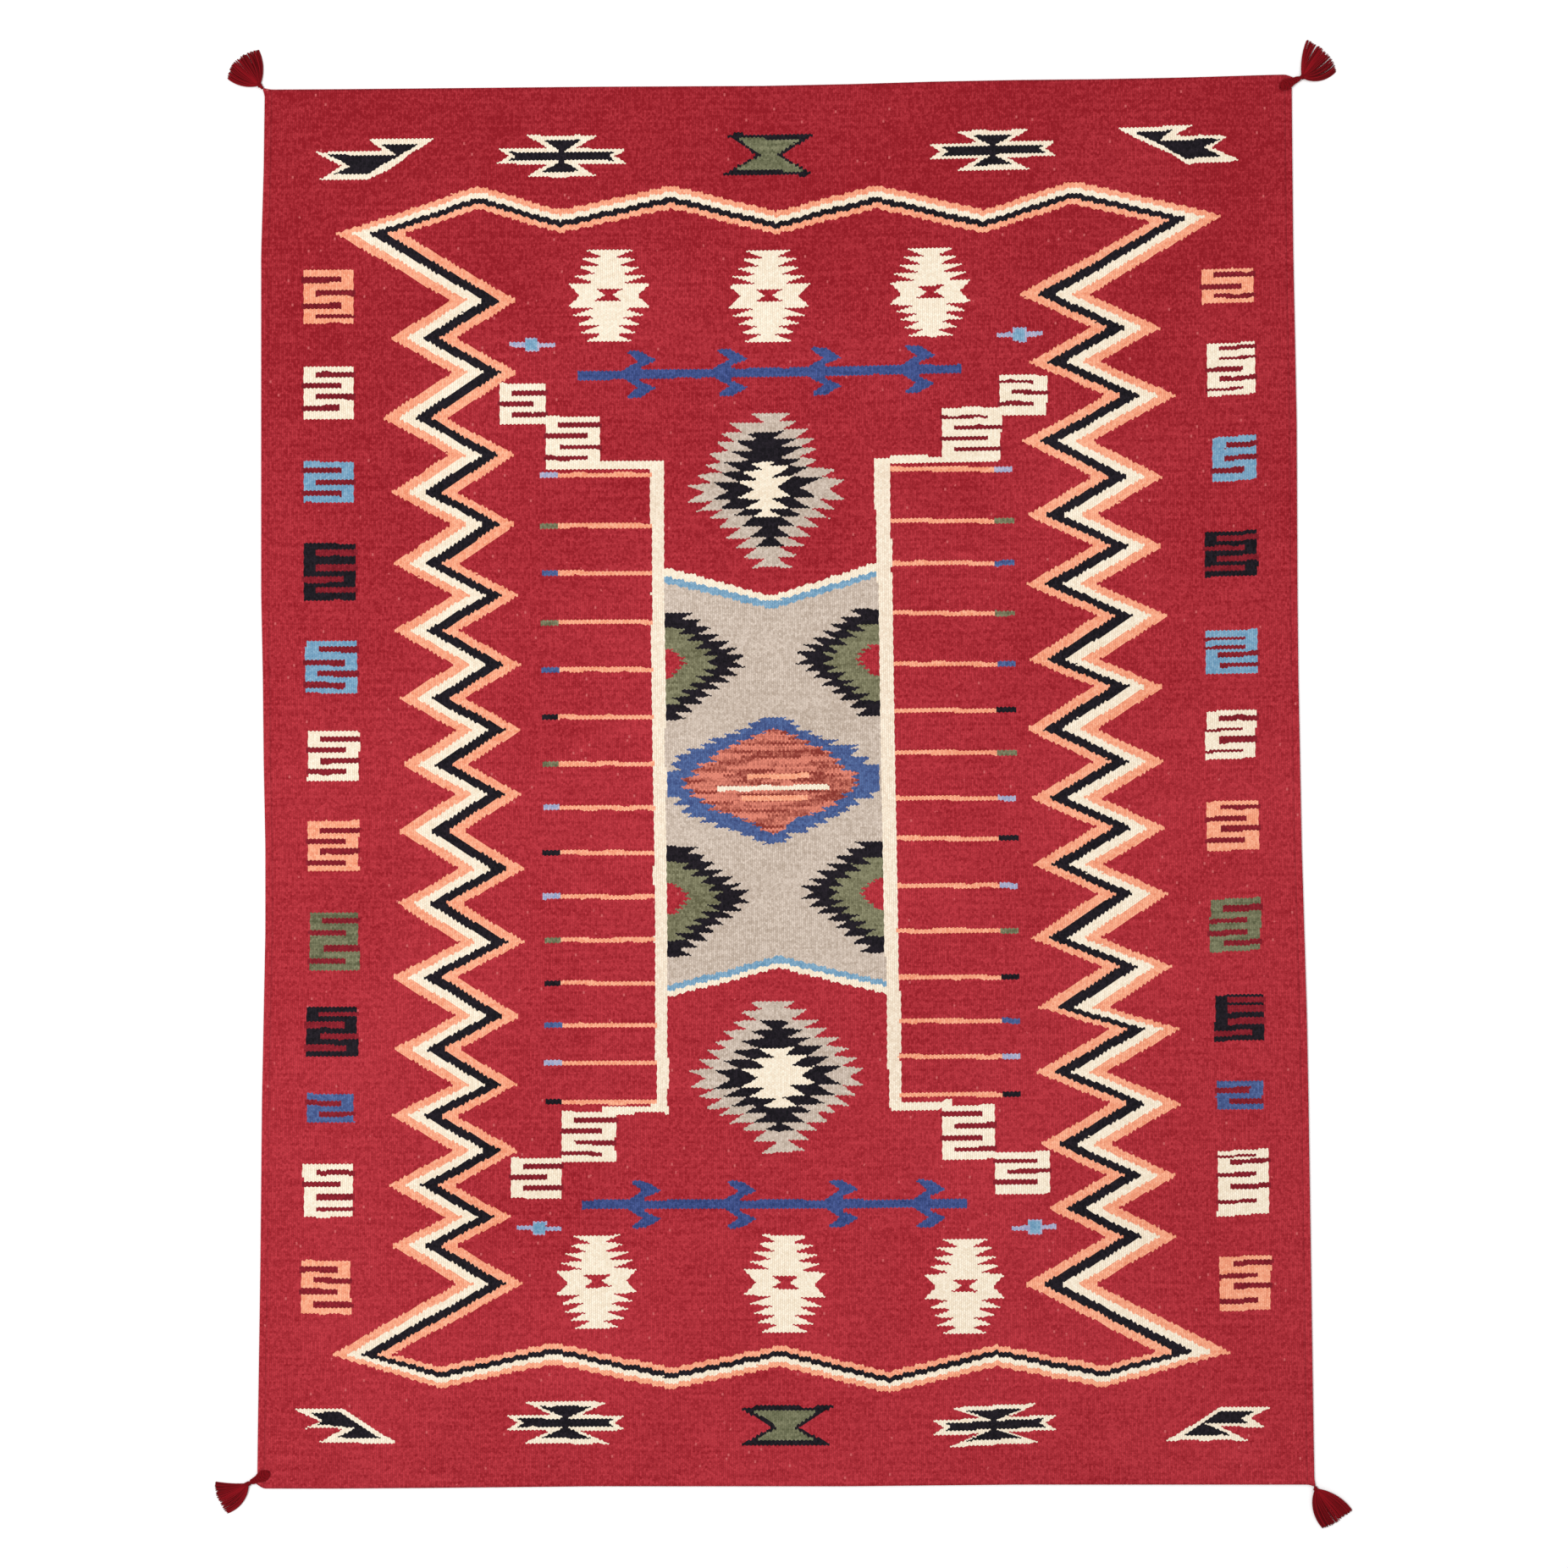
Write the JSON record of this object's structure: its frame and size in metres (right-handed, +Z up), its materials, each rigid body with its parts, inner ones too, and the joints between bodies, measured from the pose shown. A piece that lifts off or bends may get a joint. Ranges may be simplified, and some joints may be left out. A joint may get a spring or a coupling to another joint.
{
  "type": "southwest style rug",
  "caption": "Flat tapestry-woven wool rug in red with a serrated zigzag border, key figures and stepped motifs, and a yarn tassel at each corner, lying flat.",
  "frame": {"origin": "on the surface the rug lies on, under the middle of the box round the whole rug with its tassels", "axes": "+Y along the rug's length, towards the end at the top of the picture; +X across it, to the picture's right; +Z up out of its face"},
  "size_m": [1.6423, 2.1493, 0.0075],
  "materials": {
    "woven_wool": "weft-faced hand-woven wool, matt, ribbed along the warps, mostly brick red with cream, black, orange, blue, olive and taupe figures",
    "tassel_yarn": "plied dark crimson wool yarn, soft, slight sheen"
  },
  "bodies": {
    "root": {"rug": "woven_wool", "tassel_top_left": "tassel_yarn", "tassel_top_right": "tassel_yarn", "tassel_bottom_left": "tassel_yarn", "tassel_bottom_right": "tassel_yarn"}
  },
  "joints": []
}
